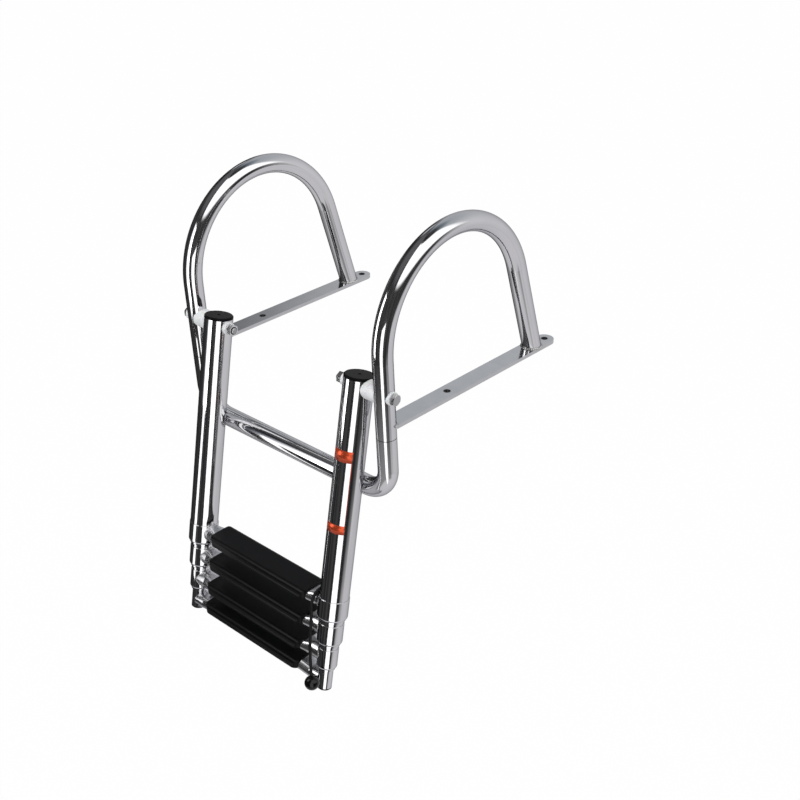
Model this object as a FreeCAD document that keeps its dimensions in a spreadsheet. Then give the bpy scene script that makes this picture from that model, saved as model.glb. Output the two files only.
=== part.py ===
import FreeCAD, Part
import Sketcher
import math
import os

# Telescopic boat ladder: two handrail hoops on flat deck bars carry a swinging pair of main tubes,
# and three more sections slide out of them. Row frame: origin on the underside of the left bar,
# midway between its holes. X runs to the right bar, Y runs inboard over the deck, Z is up.

doc = FreeCAD.newDocument("boat_ladder")
sheet = doc.addObject("Spreadsheet::Sheet", "Sizes")
V = FreeCAD.Vector


class Size:
    """A length or angle: its number now, and the formula that the document keeps for it."""

    def __init__(self, number, text):
        self.number = float(number)
        self.text = text

    @staticmethod
    def of(value):
        return value if isinstance(value, Size) else Size(value, repr(float(value)))

    def join(self, other, sign, result):
        return Size(result, "(" + self.text + " " + sign + " " + other.text + ")")

    def __add__(self, other):
        other = Size.of(other)
        return self.join(other, "+", self.number + other.number)

    def __sub__(self, other):
        other = Size.of(other)
        return self.join(other, "-", self.number - other.number)

    def __mul__(self, other):
        other = Size.of(other)
        return self.join(other, "*", self.number * other.number)

    def __truediv__(self, other):
        other = Size.of(other)
        return self.join(other, "/", self.number / other.number)

    def __radd__(self, other):
        return Size.of(other) + self

    def __rsub__(self, other):
        return Size.of(other) - self

    def __rmul__(self, other):
        return Size.of(other) * self

    def __neg__(self):
        return Size(-self.number, "(-1 * " + self.text + ")")


def sine(angle):
    return Size(math.sin(math.radians(angle.number)), "sin(" + angle.text + ")")


def cosine(angle):
    return Size(math.cos(math.radians(angle.number)), "cos(" + angle.text + ")")


def tangent(angle):
    return Size(math.tan(math.radians(angle.number)), "tan(" + angle.text + ")")


def arc_sine(ratio):
    return Size(math.degrees(math.asin(ratio.number)), "asin(" + ratio.text + ")")


rows = [0]


def size(alias, value):
    """Writes one driving size into the sheet and returns it."""
    rows[0] += 1
    sheet.set("A" + str(rows[0]), alias)
    sheet.set("B" + str(rows[0]), str(value))
    sheet.setAlias("B" + str(rows[0]), alias)
    return Size(value, "Sizes." + alias)


def angle(alias, value):
    """Writes an angle in degrees into the sheet, and returns it as an angle for formulas."""
    return Size(value, "(" + size(alias, value).text + " * 1 deg)")


def degrees(value):
    return Size(value, "(" + str(value) + " deg)")


# Deck bars
bar_pitch = size("bar_pitch", 340.0)
bar_width = size("bar_width", 25.0)
bar_thick = size("bar_thick", 5.0)
hole_pitch = size("hole_pitch", 198.0)
hole_wide = size("hole_wide", 8.5)
bar_front = size("bar_front", 111.0)
bar_bevel = size("bar_bevel", 1.2)

# Hinge line and handrails
hinge_up = size("hinge_up", 43.6)
rail_wide = size("rail_wide", 25.4)
rail_wall = size("rail_wall", 1.5)
rail_bend = size("rail_bend", 125.0)
bend_up = size("bend_up", 49.5)
front_lean = angle("front_lean", 2.0)
rear_lean = angle("rear_lean", 17.0)
seam_drop = size("seam_drop", 56.0)
seam_gap = size("seam_gap", 0.8)
spigot_long = size("spigot_long", 36.0)
cross_drop = size("cross_drop", 140.0)
cross_bend = size("cross_bend", 38.0)
seat_gap = size("seat_gap", 0.05)
stop_gap = size("stop_gap", 0.3)

# Hinge hardware
bolt_wide = size("bolt_wide", 8.0)
bolt_fit = size("bolt_fit", 0.05)
hex_wide = size("hex_wide", 13.0)
head_high = size("head_high", 5.5)
head_face = size("head_face", 12.0)
head_slope = angle("head_slope", 30.0)
nut_high = size("nut_high", 8.0)
bolt_past_nut = size("bolt_past_nut", 2.0)
bolt_chamfer = size("bolt_chamfer", 0.8)
saddle_wide = size("saddle_wide", 25.0)
washer_wide = size("washer_wide", 17.0)
washer_high = size("washer_high", 1.8)
saddle_gap = size("saddle_gap", 0.3)

# Ladder sections
leg_pitch = size("leg_pitch", 256.0)
leg_wide = size("leg_wide", 38.1)
tube_step = size("tube_step", 6.35)
tube_wide = [leg_wide - tube_step * count for count in range(4)]
leg_wall = size("leg_wall", 1.5)
tube_wall = size("tube_wall", 1.5)
leg_rise = size("leg_rise", 9.5)
cap_high = size("cap_high", 3.6)
cap_plug = size("cap_plug", 4.5)
cap_edge = size("cap_edge", 1.2)
cap_hole = size("cap_hole", 4.0)
cap_hole_deep = size("cap_hole_deep", 3.0)
collar_top = size("collar_top", 284.0)
collar_high = size("collar_high", 31.5)
collar_pitch = size("collar_pitch", 36.5)
collar_wall = size("collar_wall", 0.7)
collar_taper = size("collar_taper", 6.0)
collar_bead = size("collar_bead", 2.5)
collar_lip = size("collar_lip", 3.0)
lip_gap = size("lip_gap", 0.3)
slide_fit = size("slide_fit", 0.1)
bush_high = size("bush_high", 18.0)
guide_high = size("guide_high", 20.0)
inner_top = size("inner_top", 14.0)
inner_step = size("inner_step", 6.0)
foot_past_collar = size("foot_past_collar", 29.5)
plug_high = size("plug_high", 2.5)

# Steps
step_down = size("step_down", 10.5)
last_step_up = size("last_step_up", 20.6)
step_deep = size("step_deep", 31.0)
step_high = size("step_high", 16.0)
step_wall = size("step_wall", 1.5)
flare_long = size("flare_long", 14.0)
flare_gap = size("flare_gap", 0.3)
step_end_deep = size("step_end_deep", 25.4)
step_end_high = size("step_end_high", 22.8)
step_end_drop = size("step_end_drop", 1.3)
last_end_high = size("last_end_high", 15.6)
last_end_drop = size("last_end_drop", 5.0)
tread_long = size("tread_long", 185.4)
tread_deep = size("tread_deep", 41.0)
tread_cover = size("tread_cover", 2.1)
tread_skirt = size("tread_skirt", 2.0)
tread_lip = size("tread_lip", 0.9)
tread_lip_high = size("tread_lip_high", 2.4)
tread_nose = size("tread_nose", 5.5)
tread_corner = size("tread_corner", 9.5)

# Retaining cord and its ball
cord_wide = size("cord_wide", 4.0)
cord_gap = size("cord_gap", 0.3)
cord_past_tread = size("cord_past_tread", 12.8)
cord_bow = size("cord_bow", 1.5)
ball_wide = size("ball_wide", 19.2)
ball_socket = size("ball_socket", 6.0)
ball_past_leg = size("ball_past_leg", 4.7)
ball_front = size("ball_front", 30.3)
ball_up = size("ball_up", 25.0)

hinge_out = hole_pitch / 2 + bar_front
# The hoop's bend touches the front leg's line, and its rear leg runs down to the deck bar
bend_in = (rail_bend - bend_up * sine(front_lean)) / cosine(front_lean)
rear_long = (bend_up + rail_bend * sine(rear_lean) - bar_thick + hinge_up) / cosine(rear_lean)
rail_foot = bend_in + rail_bend * cosine(rear_lean) + rear_long * sine(rear_lean)
leg_lean = arc_sine(((leg_wide + rail_wide) / 2 + stop_gap) / cross_drop) - front_lean

foot_end = collar_top + collar_pitch * 2 + collar_high + foot_past_collar

ladder_place = (bar_pitch / 2, -hinge_out, hinge_up)


def bind(thing, name, value):
    thing.setExpression(name, Size.of(value).text)


def settle(thing, base=(0, 0, 0), axis=None, turn=None):
    """Places an object at three sizes, and turns it about an axis by a size."""
    start = V(*[Size.of(value).number for value in base])
    spin = FreeCAD.Rotation(axis, turn.number) if axis else FreeCAD.Rotation()
    thing.Placement = FreeCAD.Placement(start, spin)
    for name, value in zip("xyz", base):
        bind(thing, "Placement.Base." + name, value)
    if turn:
        bind(thing, "Placement.Rotation.Angle", turn)


def on_leg(thing, side=0, drop=0):
    """Sets an object in the ladder's own axes: up the leg, from the hinge line."""
    across = bar_pitch / 2 + leg_pitch / 2 * side
    base = (across, -hinge_out - sine(leg_lean) * drop, hinge_up - cosine(leg_lean) * drop)
    settle(thing, base, V(1, 0, 0), -leg_lean)


def plane(body, role):
    return [part for part in body.Origin.OriginFeatures if part.Role == role][0]


def new_body(name):
    body = doc.addObject("PartDesign::Body", name)
    body.Label = name
    return body


def new_sketch(body, name, role=None):
    """A sketch on one of the body's planes, or free to be placed by sizes."""
    sketch = body.newObject("Sketcher::SketchObject", name)
    if role:
        sketch.AttachmentSupport = [(plane(body, role), "")]
        sketch.MapMode = "FlatFace"
    return sketch


def fix(sketch, kind, *rest):
    """Adds one dimension whose last entry is a size, and ties it to the sheet."""
    value = Size.of(rest[-1])
    number = math.radians(value.number) if kind == "Angle" else value.number
    index = sketch.addConstraint(Sketcher.Constraint(kind, *rest[:-1], number))
    sketch.setExpression("Constraints[" + str(index) + "]", value.text)


def pin(sketch, item, end, across, along):
    """Fixes one end of an item at two sizes from the sketch's origin."""
    fix(sketch, "DistanceX", -1, 1, item, end, across)
    fix(sketch, "DistanceY", -1, 1, item, end, along)


def outline(sketch, points):
    """Draws a closed outline through points given by sizes, anticlockwise round the solid.

    A third size on a point rounds the side that leaves it: outward with that radius, or inward
    where it is negative."""
    first = sketch.GeometryCount
    spots = [[Size.of(value) for value in point] for point in points]
    count = len(spots)
    starts = []
    for i in range(count):
        here = V(spots[i][0].number, spots[i][1].number, 0)
        there = spots[(i + 1) % count]
        there = V(there[0].number, there[1].number, 0)
        if len(spots[i]) == 2:
            sketch.addGeometry(Part.LineSegment(here, there))
            starts.append(1)
            continue
        radius = spots[i][2].number
        chord = there - here
        aside = V(-chord.y, chord.x, 0).normalize() * math.copysign(1, radius)
        centre = (here + there) / 2 + aside * math.sqrt(radius ** 2 - (chord.Length / 2) ** 2)
        ends = [here - centre, there - centre]
        if radius < 0:
            ends.reverse()
        start, end = [math.degrees(math.atan2(spot.y, spot.x)) for spot in ends]
        add_arc(sketch, centre, abs(radius), start, end if end > start else end + 360)
        starts.append(1 if radius > 0 else 2)
    for i in range(count):
        after = (i + 1) % count
        sketch.addConstraint(Sketcher.Constraint("Coincident", first + i, 3 - starts[i],
                                                 first + after, starts[after]))
        pin(sketch, first + i, starts[i], spots[i][0], spots[i][1])
        if len(spots[i]) == 3:
            fix(sketch, "Radius", first + i, spots[i][2] * math.copysign(1, spots[i][2].number))


def add_arc(sketch, centre, radius, start, end):
    """Draws an arc anticlockwise between two angles in degrees."""
    circle = Part.Circle(centre, V(0, 0, 1), radius)
    sketch.addGeometry(Part.ArcOfCircle(circle, math.radians(start), math.radians(end)))


def ring(sketch, wide, across=0, along=0):
    """Draws a circle of a given width."""
    wide = Size.of(wide)
    spot = (Size.of(across), Size.of(along))
    index = sketch.addGeometry(Part.Circle(V(spot[0].number, spot[1].number, 0), V(0, 0, 1),
                                           wide.number / 2))
    fix(sketch, "Diameter", index, wide)
    pin(sketch, index, 3, *spot)


def turned(name, points):
    """A body turned about its own Z axis from points of radius and height."""
    return turn_body(new_body(name), name, points)


def turn_body(body, name, points):
    sketch = new_sketch(body, name + "_profile", "XZ_Plane")
    outline(sketch, points)
    feature = body.newObject("PartDesign::Revolution", name + "_turn")
    feature.Profile = sketch
    feature.ReferenceAxis = (sketch, ["V_Axis"])
    feature.Angle = 360
    doc.recompute()
    return body


def padded(body, name, sketch, length, both=False):
    pad = body.newObject("PartDesign::Pad", name)
    pad.Profile = sketch
    bind(pad, "Length", length)
    if both:
        pad.SideType = "Symmetric"
    return pad


def pocketed(body, name, sketch, length, both=False, back=False):
    pocket = body.newObject("PartDesign::Pocket", name)
    pocket.Profile = sketch
    bind(pocket, "Length", length)
    if both:
        pocket.SideType = "Symmetric"
    pocket.Reversed = back
    return pocket


def rod(name, wide, high, base, axis=None, turn=None):
    """A plain cylinder, used as a cutting tool."""
    item = doc.addObject("Part::Cylinder", name)
    bind(item, "Radius", wide / 2)
    bind(item, "Height", high)
    settle(item, base, axis, turn)
    return item


def cut(name, base, tools):
    """The base less its tools, as one object that carries the piece's name."""
    tool = tools[0]
    if len(tools) > 1:
        tool = doc.addObject("Part::MultiFuse", name + "_tools")
        tool.Shapes = tools
    result = doc.addObject("Part::Cut", name)
    result.Base = base
    result.Tool = tool
    result.Label = name
    return result


def group(name, items):
    """Like pieces that share one name, as separate solids."""
    result = doc.addObject("Part::Compound", name)
    result.Links = items
    result.Label = name
    return result


pieces = {}
sides = {"left": -1, "right": 1}


def bent(body, name, centre, start, turn, front, back):
    """A tube bent once in the YZ plane: an arc about a centre, with a straight leg at each end."""
    arc = new_sketch(body, name + "_arc_section")
    settle(arc, (0, centre[0], centre[1]), V(1, 0, 0), start)
    tube_section(arc, rail_bend)
    feature = body.newObject("PartDesign::Revolution", name + "_bend")
    feature.Profile = arc
    feature.ReferenceAxis = (arc, ["H_Axis"])
    feature.Reversed = True
    bind(feature, "Angle", turn)
    doc.recompute()
    padded(body, name + "_front_leg", arc, front)
    doc.recompute()
    end = new_sketch(body, name + "_end_section")
    settle(end, (0, centre[0], centre[1]), V(1, 0, 0), start - turn)
    tube_section(end, rail_bend)
    padded(body, name + "_rear_leg", end, back).Reversed = True
    doc.recompute()


def tube_section(sketch, along):
    """Two circles, the outside and the bore of the rail tube."""
    ring(sketch, rail_wide, 0, along)
    ring(sketch, rail_wide - rail_wall * 2, 0, along)


# Handrail hoops: one tube each, from the deck bar's rear over to the seam below the hinge bolt
def handrail(side):
    name = side + "_handrail"
    body = new_body(name)
    low = seam_drop - seam_gap / 2
    front_long = low - (bend_in * sine(front_lean) - bend_up * cosine(front_lean))
    bent(body, name, (bend_in, bend_up), front_lean + degrees(180),
         front_lean - rear_lean + degrees(180), front_long, rear_long + rail_wide / 2)
    trim = new_sketch(body, name + "_trim", "YZ_Plane")
    reach = rail_wide * 2
    top = bar_thick - hinge_up
    outline(trim, [(rail_foot - reach, top), (rail_foot - reach, top - reach),
                   (rail_foot + reach, top - reach), (rail_foot + reach, top)])
    pocketed(body, name + "_foot_cut", trim, reach, both=True)
    doc.recompute()
    hole = new_sketch(body, name + "_hole", "YZ_Plane")
    ring(hole, bolt_wide + bolt_fit * 2)
    pocketed(body, name + "_bolt_hole", hole, reach, both=True)
    settle(body, (bar_pitch / 2 + bar_pitch / 2 * sides[side], -hinge_out, hinge_up))
    return body


for side in sides:
    pieces[side + "_handrail"] = handrail(side)


# Crossbar: one tube bent up at both ends to meet the handrails, and the stop behind the main tubes
def crossbar():
    body = new_body("crossbar")
    half = bar_pitch / 2 - cross_bend
    middle = new_sketch(body, "crossbar_section", "YZ_Plane")
    tube_section(middle, -cross_drop)
    padded(body, "crossbar_middle", middle, half * 2, both=True)
    doc.recompute()
    for side, sign in sides.items():
        corner = new_sketch(body, "crossbar_" + side + "_corner")
        settle(corner, (half * sign, 0, cross_bend - cross_drop), V(1, 1, 1), degrees(120))
        tube_section(corner, -cross_bend)
        bend = body.newObject("PartDesign::Revolution", "crossbar_" + side + "_bend")
        bend.Profile = corner
        bend.ReferenceAxis = (corner, ["H_Axis"])
        bend.Angle = 90
        bend.Reversed = sign > 0
        doc.recompute()
        riser = new_sketch(body, "crossbar_" + side + "_riser_section")
        settle(riser, (bar_pitch / 2 * sign, 0, cross_bend - cross_drop))
        tube_section(riser, 0)
        padded(body, "crossbar_" + side + "_riser", riser,
               cross_drop - cross_bend - seam_drop - seam_gap / 2)
        doc.recompute()
    settle(body, ladder_place, V(1, 0, 0), front_lean)
    return body


pieces["crossbar"] = crossbar()

# Seam spigots: short inner tubes that join each handrail to the crossbar
spigot_wide = rail_wide - rail_wall * 2 - seat_gap * 2
items = []
for side in sides:
    item = turned(side + "_spigot", [(spigot_wide / 2 - rail_wall, -spigot_long / 2),
                                     (spigot_wide / 2, -spigot_long / 2),
                                     (spigot_wide / 2, spigot_long / 2),
                                     (spigot_wide / 2 - rail_wall, spigot_long / 2)])
    across = bar_pitch / 2 + bar_pitch / 2 * sides[side]
    settle(item, (across, -hinge_out + sine(front_lean) * seam_drop,
                  hinge_up - cosine(front_lean) * seam_drop), V(1, 0, 0), front_lean)
    items.append(item)
pieces["seam_spigots"] = group("seam_spigots", items)


# Deck bars: flat strap with a round rear tip and two bolt holes, coped to the handrail at the front
def mount_bar(side):
    name = side + "_mount_bar"
    body = new_body(name + "_strap")
    sketch = new_sketch(body, name + "_outline", "XY_Plane")
    half = bar_width / 2
    w, y0, y1 = half.number, -hinge_out.number, hole_pitch.number / 2
    sketch.addGeometry(Part.LineSegment(V(-w, y0, 0), V(w, y0, 0)))
    sketch.addGeometry(Part.LineSegment(V(w, y0, 0), V(w, y1, 0)))
    sketch.addGeometry(Part.Arc(V(w, y1, 0), V(0, y1 + w, 0), V(-w, y1, 0)))
    sketch.addGeometry(Part.LineSegment(V(-w, y1, 0), V(-w, y0, 0)))
    begins = 1 if sketch.Geometry[2].StartPoint.x > 0 else 2
    sketch.addConstraint(Sketcher.Constraint("Coincident", 0, 2, 1, 1))
    sketch.addConstraint(Sketcher.Constraint("Coincident", 3, 2, 0, 1))
    sketch.addConstraint(Sketcher.Constraint("Coincident", 1, 2, 2, begins))
    sketch.addConstraint(Sketcher.Constraint("Coincident", 3, 1, 2, 3 - begins))
    pin(sketch, 0, 1, -half, -hinge_out)
    pin(sketch, 0, 2, half, -hinge_out)
    pin(sketch, 1, 2, half, hole_pitch / 2)
    pin(sketch, 3, 1, -half, hole_pitch / 2)
    fix(sketch, "DistanceY", -1, 1, 2, 3, hole_pitch / 2)
    ring(sketch, hole_wide, 0, hole_pitch / 2)
    ring(sketch, hole_wide, 0, -hole_pitch / 2)
    padded(body, name + "_plate", sketch, bar_thick)
    across = bar_pitch / 2 + bar_pitch / 2 * sides[side]
    settle(body, (across, 0, 0))
    drop = hinge_up * 2
    cope = rod(name + "_cope", rail_wide + seat_gap * 2, hinge_up * 3,
               (across, -hinge_out + sine(front_lean) * drop, hinge_up - cosine(front_lean) * drop),
               V(1, 0, 0), front_lean)
    drop = hinge_up / cosine(front_lean) - bar_bevel
    bevel = rod(name + "_bevel", rail_wide + bar_bevel * 2, hinge_up,
                (across, -hinge_out + sine(front_lean) * (drop + hinge_up),
                 hinge_up - cosine(front_lean) * (drop + hinge_up)), V(1, 0, 0), front_lean)
    return cut(name, body, [cope, bevel])


for side in sides:
    pieces[side + "_mount_bar"] = mount_bar(side)


# Hinge hardware, along an axis that points outward from each handrail
def along_bolt(thing, side, out):
    """Sets an object on the hinge line, a given way outward from the handrail's axis."""
    sign = sides[side]
    across = bar_pitch / 2 + (bar_pitch / 2 + out) * sign
    base = (across, -hinge_out, hinge_up)
    settle(thing, base, V(0, 1, 0), degrees(90 * sign))


def hexagon(sketch, wide):
    """Draws a hexagon by its width across flats."""
    corner = wide / (2 * math.cos(math.pi / 6))
    outline(sketch, [(corner * math.cos(math.radians(60 * i)), corner * math.sin(math.radians(60 * i)))
                     for i in range(6)])


rail_side = rail_wide / 2
leg_near = (bar_pitch - leg_pitch - leg_wide) / 2
leg_far = (bar_pitch - leg_pitch + leg_wide) / 2
head_seat = rail_side + washer_high
meet = (leg_near + rail_side) / 2
nut_seat = leg_far + washer_high * 2


def hinge_bolt(side):
    name = side + "_hinge_bolt"
    body = new_body(name)
    reach = head_seat + nut_seat + saddle_gap + nut_high + bolt_past_nut
    head = new_sketch(body, name + "_hex", "XY_Plane")
    hexagon(head, hex_wide)
    padded(body, name + "_head", head, head_high)
    doc.recompute()
    turn_body(body, name, [(0, -reach), (bolt_wide / 2 - bolt_chamfer, -reach),
                           (bolt_wide / 2, bolt_chamfer - reach), (bolt_wide / 2, head_high / 2),
                           (0, head_high / 2)])
    chamfer = new_sketch(body, name + "_chamfer", "XZ_Plane")
    drop = tangent(head_slope) * (hex_wide - head_face / 2)
    outline(chamfer, [(head_face / 2, head_high), (hex_wide, head_high - drop),
                      (hex_wide, head_high + drop), (head_face / 2, head_high + drop)])
    groove = body.newObject("PartDesign::Groove", name + "_chamfer_cut")
    groove.Profile = chamfer
    groove.ReferenceAxis = (chamfer, ["V_Axis"])
    groove.Angle = 360
    doc.recompute()
    along_bolt(body, side, head_seat)
    return body


for side in sides:
    pieces[side + "_hinge_bolt"] = hinge_bolt(side)

items = []
for side in sides:
    body = new_body(side + "_nut")
    sketch = new_sketch(body, side + "_nut_hex", "XY_Plane")
    hexagon(sketch, hex_wide)
    ring(sketch, bolt_wide + bolt_fit)
    pad = padded(body, side + "_nut_pad", sketch, nut_high)
    pad.Reversed = True
    along_bolt(body, side, -nut_seat - saddle_gap)
    items.append(body)
pieces["hinge_nuts"] = group("hinge_nuts", items)


def saddle(name, side, wide, low, high, tube, at, turn, fit):
    """A ring on the bolt from low to high outward, hollowed on one side to a tube's curve."""
    blank = turned(name + "_blank", [(bolt_wide / 2 + fit, 0), (wide / 2, 0),
                                     (wide / 2, high - low), (bolt_wide / 2 + fit, high - low)])
    along_bolt(blank, side, low)
    across = bar_pitch / 2 + (bar_pitch / 2 + at) * sides[side]
    reach = wide * 2
    base = (across, -hinge_out - sine(turn) * reach * -1, hinge_up - cosine(turn) * reach)
    tool = rod(name + "_curve", tube, reach * 2, base, V(1, 0, 0), turn)
    return cut(name, blank, [tool])


items = [saddle(side + "_washer", side, washer_wide, rail_side - washer_high * 2, head_seat,
                rail_wide, Size.of(0), front_lean, bolt_fit) for side in sides]
pieces["head_saddles"] = group("head_saddles", items)
items = [saddle(side + "_rail_spacer", side, saddle_wide, -meet + saddle_gap / 2,
                -rail_side / 2, rail_wide, Size.of(0), front_lean, bolt_fit)
         for side in sides]
pieces["rail_saddles"] = group("rail_saddles", items)
leg_at = -(bar_pitch - leg_pitch) / 2
items = [saddle(side + "_leg_spacer", side, saddle_wide, leg_at + leg_wide / 4,
                -meet - saddle_gap / 2, leg_wide, leg_at, -leg_lean, bolt_fit) for side in sides]
pieces["outer_leg_saddles"] = group("outer_leg_saddles", items)
items = [saddle(side + "_nut_spacer", side, washer_wide, -nut_seat, leg_at - leg_wide / 4,
                leg_wide, leg_at, -leg_lean, bolt_fit) for side in sides]
pieces["inner_leg_saddles"] = group("inner_leg_saddles", items)


# Telescoping tubes: every section is the same build, one size smaller
def section_tube(number, side):
    """One hollow tube in the ladder's axes, heights measured up from the hinge line."""
    wide = tube_wide[number - 1]
    wall = leg_wall if number == 1 else tube_wall
    if number == 1:
        top = leg_rise
    else:
        top = -inner_top - inner_step * (number - 2)
    if number == 4:
        foot = -foot_end + plug_high
    else:
        foot = -collar_top - collar_pitch * (number - 1) - collar_high + collar_taper
    name = side + ("_main_tube" if number == 1 else "_tube_" + str(number))
    core = name + "_pipe" if number == 1 else name
    body = turned(core, [(wide / 2 - wall, foot), (wide / 2, foot), (wide / 2, top),
                         (wide / 2 - wall, top)])
    if number == 1:
        hole = new_sketch(body, name + "_hole", "YZ_Plane")
        ring(hole, bolt_wide + bolt_fit * 2)
        pocketed(body, name + "_bolt_hole", hole, leg_wide * 2, both=True)
        body.Label = name
    on_leg(body, sides[side])
    return name, body


# Collars: the ring at each tube's lower end that carries the step, tapered below to a guide lip
def collar(number, side):
    wide = tube_wide[number - 1]
    inner = tube_wide[number]
    top = -collar_top - collar_pitch * (number - 1)
    low = top - collar_high
    seat = wide / 2 + seat_gap
    outer = seat + collar_wall
    lip = inner / 2 + lip_gap
    nose = lip + collar_wall * 2
    inset = outer - nose
    rise = collar_taper - collar_bead
    shoulder = (rise * rise + inset * inset) / (inset * 2)
    name = side + "_collar_" + str(number)
    body = turned(name, [(seat, low + collar_taper), (lip, low + collar_lip), (lip, low),
                         (nose - collar_wall / 2, low), (nose, low + collar_wall / 2),
                         (nose, low + collar_bead, shoulder),
                         (outer, low + collar_taper), (outer, top - collar_wall, collar_wall),
                         (seat, top)])
    on_leg(body, sides[side])
    return name, body


# Guide bushes: the ring inside each tube's lower end that the next tube slides through
def bush(number, side):
    wide = tube_wide[number - 1]
    wall = leg_wall if number == 1 else tube_wall
    inner = tube_wide[number]
    low = -collar_top - collar_pitch * (number - 1) - collar_high + collar_taper
    body = turned(side + "_bush_" + str(number),
                  [(inner / 2 + slide_fit, low), (wide / 2 - wall - seat_gap, low),
                   (wide / 2 - wall - seat_gap, low + bush_high),
                   (inner / 2 + slide_fit, low + bush_high)])
    on_leg(body, sides[side])
    return body


# Guide rings: the ring round each sliding tube's upper end that runs inside the tube above
def guide(number, side):
    inner = tube_wide[number - 1]
    wall = leg_wall if number == 2 else tube_wall
    bore = tube_wide[number - 2] - wall * 2
    top = -inner_top - inner_step * (number - 2)
    body = turned(side + "_guide_" + str(number),
                  [(inner / 2 + seat_gap, top - guide_high), (bore / 2 - slide_fit, top - guide_high),
                   (bore / 2 - slide_fit, top), (inner / 2 + seat_gap, top)])
    on_leg(body, sides[side])
    return body


for number in (1, 2, 3, 4):
    for side in sides:
        name, body = section_tube(number, side)
        pieces[name] = body
        if number < 4:
            name, body = collar(number, side)
            pieces[name] = body
    if number < 4:
        name = "guide_bushes_" + str(number)
        pieces[name] = group(name, [bush(number, side) for side in sides])
    if number > 1:
        name = "guide_rings_" + str(number)
        pieces[name] = group(name, [guide(number, side) for side in sides])

# Tube caps and end plugs
items = []
for side in sides:
    item = turned(side + "_cap", [(0, leg_rise - cap_plug), (leg_wide / 2 - leg_wall - seat_gap,
                                                             leg_rise - cap_plug),
                                  (leg_wide / 2 - leg_wall - seat_gap, leg_rise),
                                  (leg_wide / 2, leg_rise),
                                  (leg_wide / 2, leg_rise + cap_high - cap_edge),
                                  (leg_wide / 2 - cap_edge, leg_rise + cap_high),
                                  (cap_hole / 2, leg_rise + cap_high),
                                  (cap_hole / 2, leg_rise + cap_high - cap_hole_deep),
                                  (0, leg_rise + cap_high - cap_hole_deep)])
    on_leg(item, sides[side])
    items.append(item)
pieces["tube_caps"] = group("tube_caps", items)
items = []
foot_bore = tube_wide[3] / 2 - tube_wall - seat_gap
for side in sides:
    item = turned(side + "_plug", [(0, -foot_end), (tube_wide[3] / 2 - 1.0, -foot_end),
                                   (tube_wide[3] / 2, -foot_end + 1.0),
                                   (tube_wide[3] / 2, -foot_end + plug_high),
                                   (foot_bore, -foot_end + plug_high),
                                   (foot_bore, -foot_end + plug_high + cap_plug * 2),
                                   (0, -foot_end + plug_high + cap_plug * 2)])
    on_leg(item, sides[side])
    items.append(item)
pieces["end_plugs"] = group("end_plugs", items)


# Steps: a flat-sided oval tube coped to both legs, under a clipped-on tread
def slot_outline(sketch, long, high):
    """Draws a stadium that lies along the sketch's first axis."""
    first = sketch.GeometryCount
    a, r = (long.number - high.number) / 2, high.number / 2
    sketch.addGeometry(Part.LineSegment(V(-a, -r, 0), V(a, -r, 0)))
    add_arc(sketch, V(a, 0, 0), r, -90, 90)
    sketch.addGeometry(Part.LineSegment(V(a, r, 0), V(-a, r, 0)))
    add_arc(sketch, V(-a, 0, 0), r, 90, 270)
    for i in range(4):
        join = Sketcher.Constraint("Coincident", first + i, 2, first + (i + 1) % 4, 1)
        sketch.addConstraint(join)
    half = (long - high) / 2
    pin(sketch, first, 1, -half, -high / 2)
    pin(sketch, first, 2, half, -high / 2)
    pin(sketch, first + 2, 1, half, high / 2)
    pin(sketch, first + 2, 2, -half, high / 2)
    fix(sketch, "DistanceX", -1, 1, first + 1, 3, half)
    fix(sketch, "DistanceX", -1, 1, first + 3, 3, -half)


def step_place(number):
    """The middle of a step: on the legs' line, a set way below the top of its collar."""
    if number == 4:
        drop = foot_end - last_step_up
    else:
        drop = collar_top + collar_pitch * (number - 1) + step_down
    return (bar_pitch / 2, -hinge_out - sine(leg_lean) * drop, hinge_up - cosine(leg_lean) * drop)


def step_section(body, name, across, drop, deep, high):
    """The wall of the step tube, drawn a given way out from the step's middle and below it."""
    sketch = new_sketch(body, name, "YZ_Plane")
    bind(sketch, "AttachmentOffset.Base.z", across)
    bind(sketch, "AttachmentOffset.Base.y", -Size.of(drop))
    slot_outline(sketch, deep, high)
    slot_outline(sketch, deep - step_wall * 2, high - step_wall * 2)
    return sketch


def step_tube(number):
    name = "step_tube_" + str(number)
    body = new_body(name + "_oval")
    flat = tread_long / 2 + flare_gap
    end_drop, end_high = (step_end_drop, step_end_high)
    if number == 4:
        end_drop, end_high = (last_end_drop, last_end_high)
    middle = step_section(body, name + "_section", 0, 0, step_deep, step_high)
    padded(body, name + "_pad", middle, flat * 2, both=True)
    doc.recompute()
    for side, sign in sides.items():
        start = step_section(body, name + "_" + side + "_start", flat * sign, 0, step_deep, step_high)
        end = step_section(body, name + "_" + side + "_end", (flat + flare_long) * sign, end_drop,
                           step_end_deep, end_high)
        flare = body.newObject("PartDesign::AdditiveLoft", name + "_" + side + "_flare")
        flare.Profile = start
        flare.Sections = [end]
        flare.Ruled = True
        doc.recompute()
        long = leg_pitch / 2 - tube_wide[number - 1] / 4 - flat - flare_long
        padded(body, name + "_" + side + "_neck", end, long).Reversed = sign < 0
        doc.recompute()
    place = step_place(number)
    settle(body, place)
    if number == 4:
        wide = tube_wide[3] + seat_gap * 2
    else:
        wide = tube_wide[number - 1] + (seat_gap + collar_wall + seat_gap) * 2
    tools = []
    for side, sign in sides.items():
        reach = step_deep * 2
        base = (place[0] + leg_pitch / 2 * sign, place[1] - sine(leg_lean) * reach,
                place[2] - cosine(leg_lean) * reach)
        tools.append(rod(name + "_cope_" + side, wide, reach * 2, base, V(1, 0, 0), -leg_lean))
    return cut(name, body, tools)


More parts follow.
